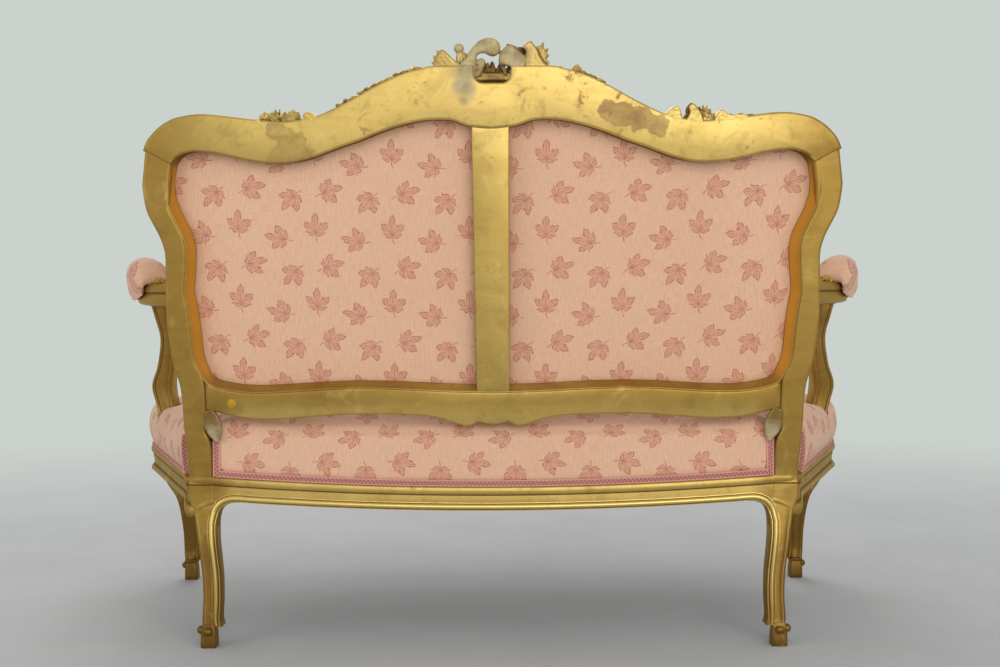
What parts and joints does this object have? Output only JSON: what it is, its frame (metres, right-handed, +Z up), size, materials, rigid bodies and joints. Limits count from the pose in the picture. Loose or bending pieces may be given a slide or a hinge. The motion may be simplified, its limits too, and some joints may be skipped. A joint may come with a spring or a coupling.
{
  "type": "cabriole sofa",
  "caption": "Two-seat sofa with a gilded, carved cabriole frame, shaped open back with a centre bar, padded arms on scrolled supports and a sprung seat in leaf-pattern fabric.",
  "frame": {"origin": "centre of the bounding box on the floor, at the undersides of the feet", "axes": "+X is the sitter's left along the sofa's length, -Y is the way the sitter faces, +Z is up"},
  "size_m": [1.4676, 0.6727, 1.0739],
  "materials": {
    "gilded_wood": "worn water gilding on beech, satin",
    "carved_gilding": "burnished gilding with brown in the recesses",
    "leaf_fabric": "woven damask with scattered leaves",
    "braid": "woven furnishing braid",
    "jute": "coarse jute weave",
    "stuffing": "hair and wadding",
    "dust_cloth": "plain black cotton",
    "steel": "plain drawn wire and screws",
    "beech": "bare beech"
  },
  "bodies": {
    "root": {"crest_rail": "gilded_wood", "crest_cartouche": "carved_gilding", "crest_spray_left": "carved_gilding", "crest_spray_right": "carved_gilding", "rear_leg_left": "gilded_wood", "rear_leg_right": "gilded_wood", "lower_back_rail": "gilded_wood", "back_centre_bar": "gilded_wood", "seat_rail_rear": "gilded_wood", "seat_rail_front": "gilded_wood", "seat_rail_left": "gilded_wood", "seat_rail_right": "gilded_wood", "front_leg_left": "gilded_wood", "front_leg_right": "gilded_wood", "arm_left": "gilded_wood", "arm_right": "gilded_wood", "arm_support_left": "gilded_wood", "arm_support_right": "gilded_wood", "arm_pad_left": "leaf_fabric", "arm_pad_right": "leaf_fabric", "outside_back_panel": "leaf_fabric", "back_webbing": "jute", "back_pad": "leaf_fabric", "seat_webbing": "jute", "seat_springs": "steel", "spring_hessian": "jute", "seat_stuffing": "stuffing", "seat_cover": "leaf_fabric", "dust_cover": "dust_cloth", "corner_blocks": "beech", "corner_block_screws": "steel", "shoulder_dowels": "beech", "side_rail_dowels": "beech", "front_rail_dowels": "beech", "arm_dowels": "beech", "support_dowels": "beech", "gimp_rear": "braid", "gimp_left": "braid", "gimp_right": "braid", "gimp_front": "braid", "front_rail_carving": "carved_gilding"}
  },
  "joints": []
}
